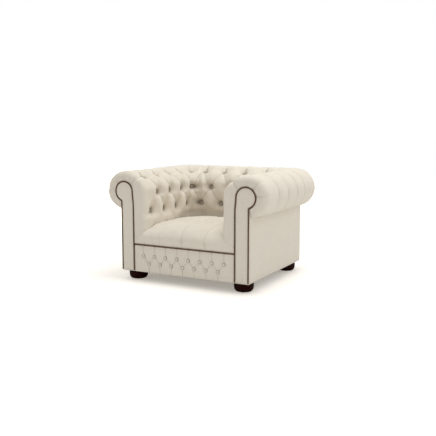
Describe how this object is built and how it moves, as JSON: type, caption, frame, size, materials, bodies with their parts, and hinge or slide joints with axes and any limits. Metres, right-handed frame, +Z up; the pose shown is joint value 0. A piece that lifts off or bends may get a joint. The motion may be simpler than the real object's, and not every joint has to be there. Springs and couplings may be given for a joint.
{
  "type": "deep-buttoned club armchair",
  "caption": "Low club armchair with deep-buttoned arms and back rolled at one height, stitched tight seat, buttoned front border, nailed facings and bun feet.",
  "frame": {"origin": "on the floor under the middle of the chair's bounding box", "axes": "+X to the right of someone who faces the chair, along its width; -Y out of its front; +Z up"},
  "size_m": [1.1008, 0.9404, 0.692],
  "materials": {
    "linen": "cream linen weave",
    "nail": "antiqued dark brown",
    "mahogany": "dark polished mahogany",
    "beech": "planed, unfinished",
    "board": "bent fibre board",
    "foam": "upholstery foam",
    "hessian": "hessian",
    "dust_cloth": "black spunbond",
    "steel": "zinc finish"
  },
  "bodies": {
    "root": {"right_arm_cover": "linen", "left_arm_cover": "linen", "back_cover": "linen", "seat_cover": "linen", "front_border_cover": "linen", "right_facing": "linen", "left_facing": "linen", "right_outside_panel": "linen", "left_outside_panel": "linen", "back_outside_panel": "linen", "right_facing_nail_trim": "nail", "left_facing_nail_trim": "nail", "border_nail_trim": "nail", "right_front_foot": "mahogany", "left_front_foot": "mahogany", "right_rear_foot": "mahogany", "left_rear_foot": "mahogany", "right_scroll_board": "beech", "left_scroll_board": "beech", "right_rear_post": "beech", "left_rear_post": "beech", "right_seat_rail": "beech", "left_seat_rail": "beech", "front_seat_rail": "beech", "rear_seat_rail": "beech", "right_arm_top_rail": "beech", "left_arm_top_rail": "beech", "back_top_rail": "beech", "right_arm_stuffing_rail": "beech", "left_arm_stuffing_rail": "beech", "back_stuffing_rail": "beech", "right_back_stay": "beech", "left_back_stay": "beech", "right_front_corner_block": "beech", "left_front_corner_block": "beech", "right_rear_corner_block": "beech", "left_rear_corner_block": "beech", "right_arm_roll_former": "board", "left_arm_roll_former": "board", "back_roll_former": "board", "right_arm_foam": "foam", "left_arm_foam": "foam", "back_foam": "foam", "seat_foam": "foam", "seat_platform": "hessian", "dust_cloth": "dust_cloth", "right_front_hanger_bolt": "steel", "left_front_hanger_bolt": "steel", "right_rear_hanger_bolt": "steel", "left_rear_hanger_bolt": "steel", "front_spring_clips": "steel", "rear_spring_clips": "steel", "seat_spring_1": "steel", "seat_spring_2": "steel", "seat_spring_3": "steel", "seat_spring_4": "steel", "seat_spring_5": "steel"}
  },
  "joints": []
}
